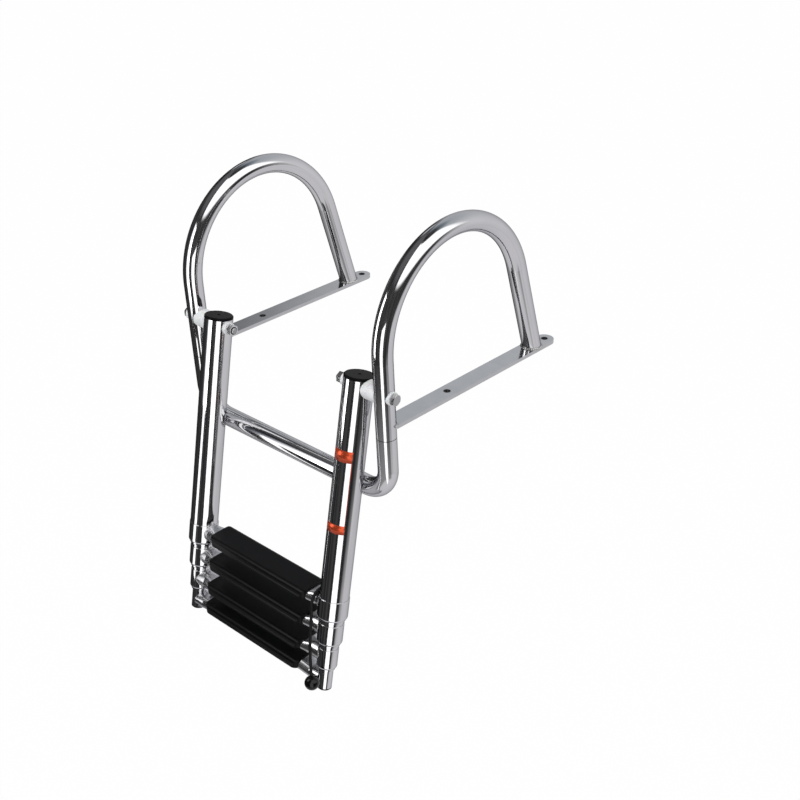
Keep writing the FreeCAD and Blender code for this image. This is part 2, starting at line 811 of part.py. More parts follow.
def tread(number):
    name = "tread_" + str(number)
    body = new_body(name + "_cover")
    sketch = new_sketch(body, name + "_section", "YZ_Plane")
    top = step_high / 2 + tread_cover
    half = tread_deep / 2
    side = half - tread_lip
    lip = tread_lip_high - tread_skirt
    outline(sketch, [(-half, -tread_skirt), (half, -tread_skirt), (half, lip), (side, lip + tread_lip),
                     (side, top - tread_nose, tread_nose), (side - tread_nose, top),
                     (tread_nose - side, top, tread_nose), (-side, top - tread_nose),
                     (-side, lip + tread_lip), (-half, lip)])
    padded(body, name + "_pad", sketch, tread_long, both=True)
    doc.recompute()
    plan = new_sketch(body, name + "_plan", "XY_Plane")
    x, y, r = tread_long / 2, half, tread_corner
    outline(plan, [(-x * 2, -y * 2), (x * 2, -y * 2), (x * 2, y * 2), (-x * 2, y * 2)])
    outline(plan, [(r - x, -y), (x - r, -y, r), (x, r - y), (x, y - r, r), (x - r, y), (r - x, y, r),
                   (-x, y - r), (-x, r - y, r)])
    pocketed(body, name + "_corners", plan, step_high * 4, both=True)
    doc.recompute()
    hollow = new_sketch(body, name + "_hollow", "YZ_Plane")
    slot_outline(hollow, step_deep + seat_gap * 2, step_high + seat_gap * 2)
    pocketed(body, name + "_groove", hollow, tread_long * 2, both=True)
    doc.recompute()
    slit = new_sketch(body, name + "_mouth", "YZ_Plane")
    outline(slit, [((-step_deep - seat_gap * 2) / 2, 0), ((-step_deep - seat_gap * 2) / 2, -step_high),
                   ((step_deep + seat_gap * 2) / 2, -step_high), ((step_deep + seat_gap * 2) / 2, 0)])
    pocketed(body, name + "_mouth_cut", slit, tread_long * 2, both=True)
    body.Label = name
    settle(body, step_place(number))
    return body


for number in (1, 2, 3, 4):
    pieces["step_tube_" + str(number)] = step_tube(number)
    pieces["tread_" + str(number)] = tread(number)


# Retaining cord: looped over the right end of the first step, then down in front of the steps
def cord_wire(points, radii):
    """Straight runs joined by tangent arcs, one radius for each inner point."""
    edges = []
    start = points[0]
    for i in range(1, len(points) - 1):
        back = (points[i - 1] - points[i]).normalize()
        ahead = (points[i + 1] - points[i]).normalize()
        turn = math.pi - back.getAngle(ahead)
        reach = radii[i - 1] * math.tan(turn / 2)
        first = points[i] + back * reach
        last = points[i] + ahead * reach
        middle = (back + ahead).normalize()
        top = points[i] + middle * (radii[i - 1] / math.cos(turn / 2) - radii[i - 1])
        if start.distanceToPoint(first) > 0.01:
            edges.append(Part.LineSegment(start, first).toShape())
        edges.append(Part.Arc(first, top, last).toShape())
        start = last
    edges.append(Part.LineSegment(start, points[-1]).toShape())
    return Part.Wire(edges)


def cord_points():
    """The cord's route in the row frame: over the step's end, then down in front of the others."""
    middle = V(*[Size.of(value).number for value in step_place(1)])
    over = ((step_end_high + cord_wide) / 2 + cord_gap).number
    deep = ((step_end_deep - step_end_high) / 2 + cord_gap * 2).number
    out = (tread_long / 2 + cord_past_tread).number
    under = -over - step_end_drop.number
    above = over - step_end_drop.number
    loop = [(out, deep, under), (out, deep + over, under), (out, deep + over, above),
            (out, -deep - over, above)]
    points = [middle + V(*spot) for spot in loop]
    lean = math.radians(leg_lean.number)
    hinge = V((bar_pitch / 2).number, -hinge_out.number, hinge_up.number)
    high = (out + 0.47 * over, -deep - 1.4 * over, (collar_top + collar_high).number)
    low = ((leg_pitch / 2 + ball_past_leg).number, -ball_front.number, (foot_end - ball_up).number)
    for share in (0.0, 0.33, 0.67, 1.0):
        x, y, drop = [a + (b - a) * share for a, b in zip(high, low)]
        x -= cord_bow.number * 4 * share * (1 - share)
        y -= cord_bow.number * 4 * share * (1 - share)
        points.append(hinge + V(x, y * math.cos(lean) - drop * math.sin(lean),
                                -y * math.sin(lean) - drop * math.cos(lean)))
    return points


route = cord_points()
bend = ((step_end_high + cord_wide) / 2 + cord_gap).number
radii = [bend, bend, bend]
for i in range(4, len(route) - 1):
    runs = (route[i] - route[i - 1], route[i + 1] - route[i])
    turn = runs[0].getAngle(runs[1])
    radii.append(0.45 * min(run.Length for run in runs) / max(math.tan(turn / 2), 0.02))
print("cord radii", [round(radius, 1) for radius in radii])
spine = cord_wire(route, radii)
start = (route[1] - route[0]).normalize()
disc = Part.Face(Part.Wire([Part.Circle(route[0], start, cord_wide.number / 2).toShape()]))
tube = Part.Wire([disc.OuterWire.Edges[0]])
cord = doc.addObject("Part::Feature", "retaining_cord")
cord.Shape = spine.makePipeShell([tube], True, False)
cord.Label = "retaining_cord"
section = math.pi * cord_wide.number ** 2 / 4
print("cord length", round(spine.Length, 1), "volume ratio",
      round(cord.Shape.Volume / section / spine.Length, 4))
pieces["retaining_cord"] = cord

# Cord ball, threaded on the cord's lower end
lead = (route[-1] - route[-2]).normalize()
ball_centre = route[-1] + lead * (ball_wide.number / 2 - ball_socket.number)
ball = doc.addObject("Part::Sphere", "ball_blank")
bind(ball, "Radius", ball_wide / 2)
ball.Placement = FreeCAD.Placement(ball_centre, FreeCAD.Rotation(V(0, 0, 1), lead * -1))
socket = doc.addObject("Part::Cylinder", "ball_socket")
bind(socket, "Radius", cord_wide / 2 + seat_gap)
bind(socket, "Height", ball_wide)
socket.Placement = FreeCAD.Placement(route[-1], FreeCAD.Rotation(V(0, 0, 1), lead * -1))
pieces["cord_ball"] = cut("cord_ball", ball, [socket])


doc.recompute()
failed = []
for thing in doc.Objects:
    if "Invalid" in thing.State or "Error" in thing.State:
        failed.append(thing.Name)
        print(thing.Name, thing.State, thing.getStatusString())
for name, piece in pieces.items():
    shape = piece.Shape
    if shape.isNull() or not shape.isValid():
        failed.append(name)
if failed:
    raise RuntimeError("failed: " + ", ".join(failed))

os.makedirs("parts", exist_ok=True)
for name, piece in pieces.items():
    piece.Shape.exportStep("parts/" + name + ".step")
print(len(pieces), "pieces")
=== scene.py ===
import bmesh
import bpy
import math
from mathutils import Matrix, Vector


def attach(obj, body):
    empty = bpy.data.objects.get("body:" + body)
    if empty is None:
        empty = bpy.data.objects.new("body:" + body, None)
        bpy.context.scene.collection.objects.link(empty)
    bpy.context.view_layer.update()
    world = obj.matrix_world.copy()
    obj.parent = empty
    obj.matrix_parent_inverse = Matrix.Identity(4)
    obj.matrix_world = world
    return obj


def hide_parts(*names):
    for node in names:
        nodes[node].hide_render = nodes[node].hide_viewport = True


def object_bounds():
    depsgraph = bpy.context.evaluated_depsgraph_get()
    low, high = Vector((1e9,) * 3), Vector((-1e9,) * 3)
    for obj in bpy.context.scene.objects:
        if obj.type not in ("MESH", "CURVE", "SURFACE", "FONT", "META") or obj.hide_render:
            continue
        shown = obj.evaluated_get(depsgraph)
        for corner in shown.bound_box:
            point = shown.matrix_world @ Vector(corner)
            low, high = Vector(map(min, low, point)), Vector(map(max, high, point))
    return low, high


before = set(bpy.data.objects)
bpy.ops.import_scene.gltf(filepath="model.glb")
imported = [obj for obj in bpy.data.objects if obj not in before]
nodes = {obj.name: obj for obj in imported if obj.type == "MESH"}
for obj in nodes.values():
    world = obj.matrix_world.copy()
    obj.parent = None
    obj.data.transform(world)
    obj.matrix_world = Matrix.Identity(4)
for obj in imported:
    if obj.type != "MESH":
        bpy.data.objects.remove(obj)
cad_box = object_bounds()

# Camera: a short tele lens that looks down on the ladder from its right front corner, as the
# photograph does. Turn, tilt and roll are in degrees and the eye is in metres.
eye = Vector((1.22236, -1.12183, 0.72432))
camera_turn, camera_tilt, camera_roll = 43.2455, 28.439, -0.9884
lens_mm, sensor_mm = 55.922, 36.0
camera_reach = 50.0


def view_axes(turn, tilt, roll):
    """Right, up and backward directions of a camera turned about Z, then tilted and rolled."""
    turn, tilt, roll = math.radians(turn), math.radians(tilt), math.radians(roll)
    ahead = Vector((-math.sin(turn) * math.cos(tilt), math.cos(turn) * math.cos(tilt),
                    -math.sin(tilt)))
    level = Vector((math.cos(turn), math.sin(turn), 0.0))
    upward = level.cross(ahead)
    right = level * math.cos(roll) + upward * math.sin(roll)
    return right, upward * math.cos(roll) - level * math.sin(roll), -ahead


camera_data = bpy.data.cameras.new("camera")
camera_data.sensor_fit = "HORIZONTAL"
camera_data.sensor_width = sensor_mm
camera_data.lens = lens_mm
camera_data.clip_end = camera_reach
camera = bpy.data.objects.new("camera", camera_data)
bpy.context.scene.collection.objects.link(camera)
camera.matrix_world = Matrix.Translation(eye) @ Matrix(
    view_axes(camera_turn, camera_tilt, camera_roll)).transposed().to_4x4()
bpy.context.scene.camera = camera

# Retaining cord: black elastic cord, looped round the right end of the first step and hanging in
# front of the others, with a moulded ball on its end. A smooth line follows the route's points.
cord_width = 0.004
cord_route = [
    (0.2755, -0.26547, -0.26026), (0.2755, -0.25177, -0.26026), (0.2755, -0.25177, -0.23286),
    (0.2755, -0.28297, -0.23286), (0.28194, -0.29214, -0.26175), (0.28746, -0.30141, -0.28598),
    (0.29452, -0.30962, -0.31122), (0.3027, -0.31628, -0.33597),
]
line_order = 3
line_steps = 16
cord_sides = 6


class Value:
    """A number or colour on a surface: a shader socket that can be summed, scaled and mixed."""

    def __init__(self, tree, socket):
        self.tree = tree
        self.socket = socket

    def math(self, operation, *sockets):
        return Value.node(self.tree, "Math", {"operation": operation}, dict(enumerate(sockets)))

    def plain(self):
        """The number without its sign."""
        return self.math("ABSOLUTE", self)

    def root(self):
        return self.math("SQRT", self)

    def beside(self, output):
        """Another output of the same node."""
        return Value(self.tree, self.socket.node.outputs[output])

    def __add__(self, other):
        return self.math("ADD", self, other)

    def __radd__(self, other):
        return self.math("ADD", other, self)

    def __sub__(self, other):
        return self.math("SUBTRACT", self, other)

    def __rsub__(self, other):
        return self.math("SUBTRACT", other, self)

    def __mul__(self, other):
        return self.math("MULTIPLY", self, other)

    def ramp(self, low, high):
        """Rises smoothly from 0 at low to 1 at high."""
        return Value.node(self.tree, "MapRange", {"interpolation_type": "SMOOTHSTEP"},
                          {"Value": self, "From Min": low, "From Max": high})

    def mix(self, first, second):
        """A colour between two, with this value as the factor."""
        return Value.node(self.tree, "Mix", {"data_type": "RGBA"},
                          {0: self, 6: first, 7: second}, 2)

    @staticmethod
    def node(tree, kind, settings=None, sockets=None, output=0):
        """Adds a node, sets it up, links or fills its sockets, and returns one of its outputs."""
        made = tree.nodes.new("ShaderNode" + kind)
        for name, setting in (settings or {}).items():
            setattr(made, name, setting)
        for name, value in (sockets or {}).items():
            socket = made.inputs[name]
            if isinstance(value, Value):
                tree.links.new(value.socket, socket)
            elif socket.type == "RGBA" and len(value) == 3:
                socket.default_value = (*value, 1.0)
            else:
                socket.default_value = value
        return Value(tree, made.outputs[output]) if made.outputs else None


def new_material(name):
    """An empty surface, its node tree, and the place on the object that patterns read."""
    material = bpy.data.materials.new(name)
    material.use_nodes = True
    tree = material.node_tree
    tree.nodes.clear()
    return material, tree, Value.node(tree, "TexCoord", output="Object")


def noise(tree, place, scale, detail=2.0):
    return Value.node(tree, "TexNoise", None, {"Vector": place, "Scale": scale, "Detail": detail})


def bumped(tree, height, distance, strength):
    return Value.node(tree, "Bump", None,
                      {"Height": height, "Distance": distance, "Strength": strength})


def finish_surface(tree, sockets):
    """Ends a material with one surface shader."""
    shader = Value.node(tree, "BsdfPrincipled", None, sockets)
    Value.node(tree, "OutputMaterial", None, {"Surface": shader})


def clothe(material, *names):
    """Gives a finish to CAD nodes."""
    for name in names:
        slots = nodes[name].data.materials
        slots.clear()
        slots.append(material)


rubber, tree, place = new_material("elastic cord cover")
weave = noise(tree, place, 1400.0, 1.0)
finish_surface(tree, {
    "Base Color": weave.mix((0.002, 0.002, 0.0024), (0.007, 0.007, 0.0078)),
    "Roughness": 0.42 + weave * 0.2, "Specular IOR Level": 0.25,
    "Normal": bumped(tree, weave, 0.0002, 0.5)})

cord_curve = bpy.data.curves.new("retaining_cord_line", "CURVE")
cord_curve.dimensions = "3D"
cord_line = cord_curve.splines.new("NURBS")
cord_line.points.add(len(cord_route) - 1)
for point, spot in zip(cord_line.points, cord_route):
    point.co = (*spot, 1.0)
cord_line.order_u = line_order
cord_line.use_endpoint_u = True
cord_line.resolution_u = line_steps
cord_curve.bevel_depth = cord_width / 2
cord_curve.bevel_resolution = cord_sides
cord_curve.use_fill_caps = True
cord_curve.materials.append(rubber)
cord = bpy.data.objects.new("elastic_cord", cord_curve)
bpy.context.scene.collection.objects.link(cord)
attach(cord, "ladder")
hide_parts("retaining_cord")

gloss_black, tree, place = new_material("moulded cord ball")
cloud = noise(tree, place, 260.0)
finish_surface(tree, {
    "Base Color": cloud.mix((0.0015, 0.0015, 0.0018), (0.004, 0.004, 0.0045)),
    "Roughness": 0.14 + cloud * 0.1, "Specular IOR Level": 0.3,
    "Normal": bumped(tree, cloud, 0.0002, 0.15)})
clothe(gloss_black, "cord_ball")

# Handrail hoops and crossbar: stainless tube, bent and then mirror-polished, with a slight
# waviness that breaks the long reflections. The legs and their collars have the same finish.
polish_edge = (0.45, 0.45, 0.47)
steel, tree, place = new_material("polished stainless tube")
wave = noise(tree, place, 26.0, 1.0)
polish = noise(tree, place, 900.0, 3.0)
finish_surface(tree, {
    "Base Color": wave.mix((0.67, 0.67, 0.685), (0.74, 0.735, 0.745)),
    "Metallic": 1.0, "Specular Tint": polish_edge, "Roughness": 0.06 + polish * 0.06,
    "Normal": bumped(tree, wave, 0.0006, 0.12)})
clothe(steel, "crossbar", *[name for name in nodes if name.startswith(("left_", "right_"))
                            and any(word in name for word in ("handrail", "tube", "collar"))])

# Seam spigots: short lengths of the next smaller stainless tube, pressed in to join each hoop to
# the crossbar. Only a ring of each shows in the seam, its steel painted near-black as shade.
shaded_steel, tree, place = new_material("steel painted near-black with joint shade")
shade_mottle = noise(tree, place, 900.0)
# Painted shade: the base colour is near-black for the shade in the gap, not the steel's own colour.
finish_surface(tree, {
    "Base Color": shade_mottle.mix((0.002, 0.002, 0.002), (0.008, 0.008, 0.008)),
    "Metallic": 0.9, "Roughness": 0.55 + shade_mottle * 0.2})
clothe(shaded_steel, "seam_spigots")

# Foot welds: the bead all round each hoop's rear foot on its deck bar, and the bead across the
# front end of the bar where it is coped to the hoop's front leg. Stainless filler, left as laid.
rail_wide = 0.0254
bar_pitch = 0.34
bar_top = 0.005
rear_foot = Vector((0.0, 0.07099, bar_top))
front_foot = Vector((0.0, -0.20865, bar_top))
rear_slant = math.radians(17.0)
foot_bead = 0.0014
bead_rise = 0.0003
bead_bite = 0.65
front_run = (8, 172)
bead_lump, lump_turn = 0.16, 2.1
bead_swell, swell_turn = 0.08, 0.7
bead_sides = 2
weld_steel, tree, place = new_material("brushed weld bead")
ripple = noise(tree, place, 700.0, 3.0)
heat = noise(tree, place, 120.0, 1.0)
finish_surface(tree, {
    "Base Color": heat.mix((0.52, 0.51, 0.50), (0.70, 0.69, 0.68)),
    "Metallic": 1.0, "Roughness": 0.16 + ripple * 0.2,
    "Normal": bumped(tree, ripple, 0.0004, 0.6)})


def new_piece(name, mesh, material, body):
    """Puts a finished mesh on the ladder: it rides on a body and takes its finish from a slot."""
    mesh.materials.clear()
    mesh.materials.append(material)
    piece = bpy.data.objects.new(name, mesh)
    bpy.context.scene.collection.objects.link(piece)
    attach(piece, body)
    return piece


def smooth_mesh(name, shape):
    """Turns a worked shape into a smoothly shaded mesh."""
    for face in shape.faces:
        face.smooth = True
    mesh = bpy.data.meshes.new(name)
    shape.to_mesh(mesh)
    shape.free()
    return mesh


def weld_bead(name, runs, thick, body):
    """Weld metal laid along runs of points. Each run closes on itself where it is marked so."""
    line = bpy.data.curves.new(name + "_line", "CURVE")
    line.dimensions = "3D"
    line.bevel_depth = thick
    line.bevel_resolution = bead_sides
    line.use_fill_caps = True
    line.resolution_u = 1
    for points, closed in runs:
        spline = line.splines.new("POLY")
        spline.points.add(len(points) - 1)
        spline.use_cyclic_u = closed
        for index, (point, spot) in enumerate(zip(spline.points, points)):
            point.co = (*spot, 1.0)
            point.radius = (1.0 + bead_lump * math.sin(index * lump_turn)
                            + bead_swell * math.sin(index * swell_turn))
    holder = bpy.data.objects.new(name + "_line", line)
    mesh = bpy.data.meshes.new_from_object(holder)
    mesh.name = name
    bpy.data.objects.remove(holder)
    for face in mesh.polygons:
        face.use_smooth = True
    new_piece(name, mesh, weld_steel, body)


def oval_run(centre, wide, deep, start, end, steps):
    """Points round an oval in the deck bar's plane, between two angles in degrees from +X."""
    turns = [math.radians(start + (end - start) * i / steps) for i in range(steps + 1)]
    return [centre + Vector((wide * math.cos(turn), deep * math.sin(turn), 0.0)) for turn in turns]


foot_runs = []
foot_radius = rail_wide / 2 + foot_bead * (1.0 - bead_bite)
for across in (0.0, bar_pitch):
    centre = rear_foot + Vector((across, 0.0, bead_rise))
    round_foot = oval_run(centre, foot_radius, foot_radius / math.cos(rear_slant), 0, 360, 96)
    foot_runs.append((round_foot[:-1], True))
    centre = front_foot + Vector((across, 0.0, 0.0))
    foot_runs.append((oval_run(centre, foot_radius, foot_radius, *front_run, 52), False))
weld_bead("foot_welds", foot_runs, foot_bead, "frame")

# Deck bars: flat stainless strap, ground and polished, with rounded rear ends. The rim of each
# drilled bolt hole is duller than the strap, and its bore is painted dark as shade.
hole_radius = 0.00425
half_hole_pitch = 0.099
rim_wide = 0.001
strap, tree, place = new_material("polished strap")
grain = noise(tree, place, 60.0, 3.0)
fine = noise(tree, place, 1100.0)
parts = Value.node(tree, "SeparateXYZ", None, {"Vector": place})
side_off = (parts - bar_pitch / 2).plain() - bar_pitch / 2
hole_off = parts.beside(1).plain() - half_hole_pitch
from_hole = (side_off * side_off + hole_off * hole_off).root()
rim = from_hole.ramp(hole_radius + rim_wide + 0.00035, hole_radius + rim_wide - 0.00025)
# Painted shade: the bore of each hole is coloured near-black and not metallic.
bore_shade = from_hole.ramp(hole_radius + 0.00017, hole_radius + 0.00007)
strap_face = grain.mix((0.52, 0.53, 0.545), (0.62, 0.625, 0.635))
finish_surface(tree, {
    "Base Color": bore_shade.mix(rim.mix(strap_face, (0.40, 0.40, 0.41)), (0.02, 0.02, 0.021)),
    "Metallic": 1.0 - bore_shade, "Roughness": 0.10 + grain * 0.06 + rim * 0.2,
    "Normal": bumped(tree, fine * 0.4, 0.0003, 0.12)})
clothe(strap, "left_mount_bar", "right_mount_bar")

# Hinge bolts and nuts: stainless hexagon heads outside the handrails, lock nuts on the inner sides
# of the main tubes. The cut ends are darker than the nuts, and the heads are painted darker as
# shade.
middle_x = bar_pitch / 2
cut_face = (0.0964, 0.0952)
head_begins = (0.14, 0.16)
bolt_steel, tree, place = new_material("stainless fastener")
grain = noise(tree, place, 500.0)
parts = Value.node(tree, "SeparateXYZ", None, {"Vector": place})
from_middle = (parts - middle_x).plain()
cut_end = from_middle.ramp(*cut_face)
head = from_middle.ramp(*head_begins)
nut_face = cut_end.mix(grain.mix((0.66, 0.66, 0.675), (0.80, 0.80, 0.81)), (0.42, 0.42, 0.43))
# Painted shade: the heads are the same steel as the nuts, but their base colour is darker.
head_painted_shade = grain.mix((0.40, 0.40, 0.41), (0.54, 0.54, 0.55))
finish_surface(tree, {
    "Base Color": head.mix(nut_face, head_painted_shade), "Metallic": 1.0,
    "Roughness": 0.14 + grain * 0.14 + head * 0.08 + cut_end * 0.1})
clothe(bolt_steel, "left_hinge_bolt", "right_hinge_bolt", "hinge_nuts")

# Lock-nut inserts: the ring of dark nylon that each nut's end grips the bolt with. It is pressed
# in at the factory and stands a little proud round the bolt.
hinge = Vector((0.17, -0.21, 0.0436))
nut_end = 0.09705
ring_radius = 0.0043
ring_thick = 0.001
insert_black, tree, place = new_material("dark nylon insert")
cloud = noise(tree, place, 400.0)
finish_surface(tree, {
    "Base Color": cloud.mix((0.003, 0.0035, 0.005), (0.007, 0.0075, 0.01)),
    "Roughness": 0.4 + cloud * 0.2})
same_spot = 0.00001
insert_shape = bmesh.new()
for side in (-1, 1):
    centre = hinge + Vector((side * nut_end, 0.0, 0.0))
    section = bmesh.ops.create_circle(
        insert_shape, segments=12, radius=ring_thick,
        matrix=Matrix.Translation(centre + Vector((0.0, 0.0, ring_radius))) @ Matrix.Rotation(
            math.radians(90), 4, "X"))
    edges = list({edge for corner in section["verts"] for edge in corner.link_edges})
    bmesh.ops.spin(insert_shape, geom=section["verts"] + edges, cent=centre, axis=(1, 0, 0),
                   angle=math.radians(360), steps=40, use_merge=True)
bmesh.ops.remove_doubles(insert_shape, verts=insert_shape.verts, dist=same_spot)
bmesh.ops.recalc_face_normals(insert_shape, faces=insert_shape.faces)
new_piece("lock_nut_inserts", smooth_mesh("lock_nut_inserts", insert_shape), insert_black,
          "frame")

# Nylon saddles, bushes and guide rings: moulded white nylon, slightly waxy, curved to sit on the
# round tubes or pressed into them.
nylon, tree, place = new_material("white nylon")
cloud = noise(tree, place, 180.0, 3.0)
finish_surface(tree, {
    "Base Color": cloud.mix((0.80, 0.81, 0.82), (0.86, 0.87, 0.88)),
    "Roughness": 0.38 + cloud * 0.12, "Subsurface Weight": 0.1, "Subsurface Scale": 0.003,
    "Normal": bumped(tree, cloud, 0.0002, 0.2)})
clothe(nylon, "head_saddles", "rail_saddles", "outer_leg_saddles", "inner_leg_saddles",
       *[name for name in nodes if name.startswith("guide_")])

# Colour band on the right main tube: a thin self-adhesive film, plain orange-red at its two ends
# and joined by a narrow line down its edge. It is bare between them.
leg_off = 0.128
leg_radius = 0.01905
leg_slant = math.radians(11.234)
leg_down = Vector((0.0, -math.sin(leg_slant), -math.cos(leg_slant)))
leg_out = Vector((0.0, -math.cos(leg_slant), math.sin(leg_slant)))
leg_top = hinge + Vector((leg_off, 0.0, 0.0))
upper_band = (0.0795, 0.0945)
lower_band = (0.1775, 0.1895)
film_edge, film_far_edge, film_line = -51, 64, -49
film_thick = 0.00012
film_lift = 0.00004
film_red, tree, place = new_material("orange-red film")
cloud = noise(tree, place, 300.0, 3.0)
scuff = noise(tree, place, 1500.0)
finish_surface(tree, {
    "Base Color": cloud.mix((0.56, 0.055, 0.016), (0.70, 0.11, 0.04)),
    "Metallic": 0.6 + cloud * 0.15, "Roughness": 0.24 + scuff * 0.12,
    "Normal": bumped(tree, scuff, 0.0001, 0.2)})
film_shape = bmesh.new()


def film_patch(low, high, start, end):
    """A thin patch that follows the tube between two drops and two angles from its front face."""
    ends = []
    for drop in (low, high):
        spot = leg_top + leg_down * drop + leg_out * (leg_radius + film_lift)
        ends.append(bmesh.ops.create_vert(film_shape, co=spot)["vert"][0])
    edge = film_shape.edges.new(ends)
    turn = Matrix.Translation(leg_top) @ Matrix.Rotation(
        math.radians(start), 4, leg_down) @ Matrix.Translation(-leg_top)
    bmesh.ops.transform(film_shape, matrix=turn, verts=ends)
    bmesh.ops.spin(film_shape, geom=ends + [edge], cent=leg_top, axis=leg_down,
                   angle=math.radians(end - start), steps=36)


film_patch(*upper_band, film_edge, film_far_edge)
film_patch(*lower_band, film_edge, film_far_edge)
film_patch(upper_band[1], lower_band[0], film_edge, film_line)
bmesh.ops.remove_doubles(film_shape, verts=film_shape.verts, dist=same_spot)
bmesh.ops.recalc_face_normals(film_shape, faces=film_shape.faces)
bmesh.ops.solidify(film_shape, geom=film_shape.faces, thickness=film_thick)
new_piece("colour_bands", smooth_mesh("colour_bands", film_shape), film_red,
          "ladder")

# Treads: black plastic extruded in long lengths, so that faint lines run along each tread, then cut
# and rounded at the corners and clipped over its step tube.
line_scale = (14.0, 900.0, 900.0)
tread_plastic, tree, place = new_material("black extruded plastic")
along_tread = Value.node(tree, "Mapping", None, {"Vector": place, "Scale": line_scale})
lines = noise(tree, along_tread, 1.0, 3.0)
grain = noise(tree, place, 1500.0)
cloud = noise(tree, place, 45.0)
shade = cloud * 0.6 + lines * 0.4
finish_surface(tree, {
    "Base Color": shade.mix((0.0012, 0.0012, 0.0015), (0.0046, 0.0046, 0.0053)),
    "Roughness": 0.24 + lines * 0.08 + grain * 0.08, "Specular IOR Level": 0.12,
    "Normal": bumped(tree, lines * 0.7 + grain * 0.3, 0.0002, 0.25)})
clothe(tread_plastic, *[name for name in nodes if name.startswith("tread_")])

# Tube caps and end plugs: black moulded plastic with a fine matt grain, pressed into the tubes.
# The small blind hole in the middle of each cap is painted darker still, as its shade.
hole_edge = (0.0027, 0.0022)
cap_plastic, tree, place = new_material("black moulded plastic")
grain = noise(tree, place, 1500.0)
cloud = noise(tree, place, 40.0)
parts = Value.node(tree, "SeparateXYZ", None, {"Vector": place})
aside = (parts - middle_x).plain() - leg_off
out_from_leg = Value.node(tree, "VectorMath", {"operation": "DOT_PRODUCT"},
                          {0: place, 1: leg_out}, 1) - hinge.dot(leg_out)
# Painted shade: a near-black spot where the blind hole's shade falls.
blind_hole_shade = (aside * aside + out_from_leg * out_from_leg).root().ramp(*hole_edge)
cap_face = cloud.mix((0.004, 0.004, 0.0044), (0.008, 0.008, 0.0088))
finish_surface(tree, {
    "Base Color": blind_hole_shade.mix(cap_face, (0.0006, 0.0006, 0.0006)),
    "Roughness": 0.28 + grain * 0.12, "Specular IOR Level": 0.03,
    "Normal": bumped(tree, grain, 0.0002, 0.3)})
clothe(cap_plastic, "tube_caps", "end_plugs")

# Step tubes: stainless tube pressed to a flat oval, drawn in to round ends and polished a little
# duller than the legs, because the presses leave a fine grain.
step_steel, tree, place = new_material("satin step tube")
grain = noise(tree, place, 800.0, 3.0)
wave = noise(tree, place, 60.0, 1.0)
finish_surface(tree, {
    "Base Color": wave.mix((0.60, 0.60, 0.615), (0.70, 0.70, 0.715)),
    "Metallic": 1.0, "Specular Tint": polish_edge, "Roughness": 0.17 + grain * 0.12,
    "Normal": bumped(tree, grain, 0.0002, 0.1)})
clothe(step_steel, *[name for name in nodes if name.startswith("step_tube_")])

# Step welds: a thin bead all round where each of the upper three step tubes' ends meets its
# collar. Stainless filler, polished with the tube.
neck_deep = 0.0127
neck_high = 0.0114
neck_drop = 0.0013
bead_out = 0.0003
step_bead = 0.0005
ring_steps = 64
step_seats = [("ladder", 0.2945, 0.0198), ("second_section", 0.331, 0.016625),
              ("third_section", 0.3675, 0.01345)]
for number, (body, drop, seat) in enumerate(step_seats, 1):
    middle = hinge + leg_down * drop - Vector((0.0, 0.0, neck_drop))
    rings = []
    for side in (-1, 1):
        ring = []
        for i in range(ring_steps):
            turn = math.radians(360 * i / ring_steps)
            flat = (neck_deep - neck_high) * (1 if math.cos(turn) > 0 else -1)
            spot = Vector((0.0, flat + neck_high * math.cos(turn), neck_high * math.sin(turn)))
            off_axis = (spot - Vector((0.0, 0.0, neck_drop))).dot(leg_out)
            inward = leg_off - math.sqrt(seat * seat - off_axis * off_axis) - bead_out
            ring.append(middle + spot + Vector((side * inward, 0.0, 0.0)))
        rings.append((ring, True))
    weld_bead("step_welds_" + str(number), rings, step_bead, body)

# Studio: a pale floor below the reach of the drawn-out ladder, a plain sky of soft boxes and dark
# gaps for the steel to mirror, light cards in front of the ladder, and two large soft lamps.
slide_travel = 0.235
slides = 3
floor_gap = 0.01
floor_wide = 28.0
floor_plain = 0.98
full_white = (1.0, 1.0, 1.0)
card_dark = (0.010, 0.012, 0.018)
sharp = 0.001
degrees = 180 / math.pi


def flat_sheet(name, material, wide, deep, place):
    """A flat sheet that stands in the studio and is no part of the ladder."""
    mesh = bpy.data.meshes.new(name)
    shape = bmesh.new()
    bmesh.ops.create_grid(shape, x_segments=1, y_segments=1, size=0.5)
    bmesh.ops.scale(shape, vec=(wide, deep, 1.0), verts=shape.verts)
    bmesh.ops.transform(shape, matrix=place, verts=shape.verts)
    shape.to_mesh(mesh)
    shape.free()
    mesh.materials.append(material)
    sheet = bpy.data.objects.new(name, mesh)
    bpy.context.scene.collection.objects.link(sheet)
    return sheet


paper, tree, place = new_material("pale paper")
is_camera = Value.node(tree, "LightPath", output="Is Camera Ray")
is_glossy = Value.node(tree, "LightPath", output="Is Glossy Ray")
white = Value.node(tree, "Emission", None, {"Color": full_white, "Strength": 1.0})
chalk = Value.node(tree, "BsdfDiffuse", None, {"Color": (0.8, 0.8, 0.8)})
clear = Value.node(tree, "BsdfTransparent", None, {})
seen = Value.node(tree, "MixShader", None, {0: is_camera * floor_plain, 1: chalk, 2: white})
floor_surface = Value.node(tree, "MixShader", None, {0: is_glossy, 1: seen, 2: clear})
Value.node(tree, "OutputMaterial", None, {"Surface": floor_surface})
floor_up = cad_box[0][2] - slides * slide_travel * math.cos(leg_slant) - floor_gap
floor = flat_sheet("floor", paper, floor_wide, floor_wide,
                   Matrix.Translation((middle_x, -0.2, floor_up)))


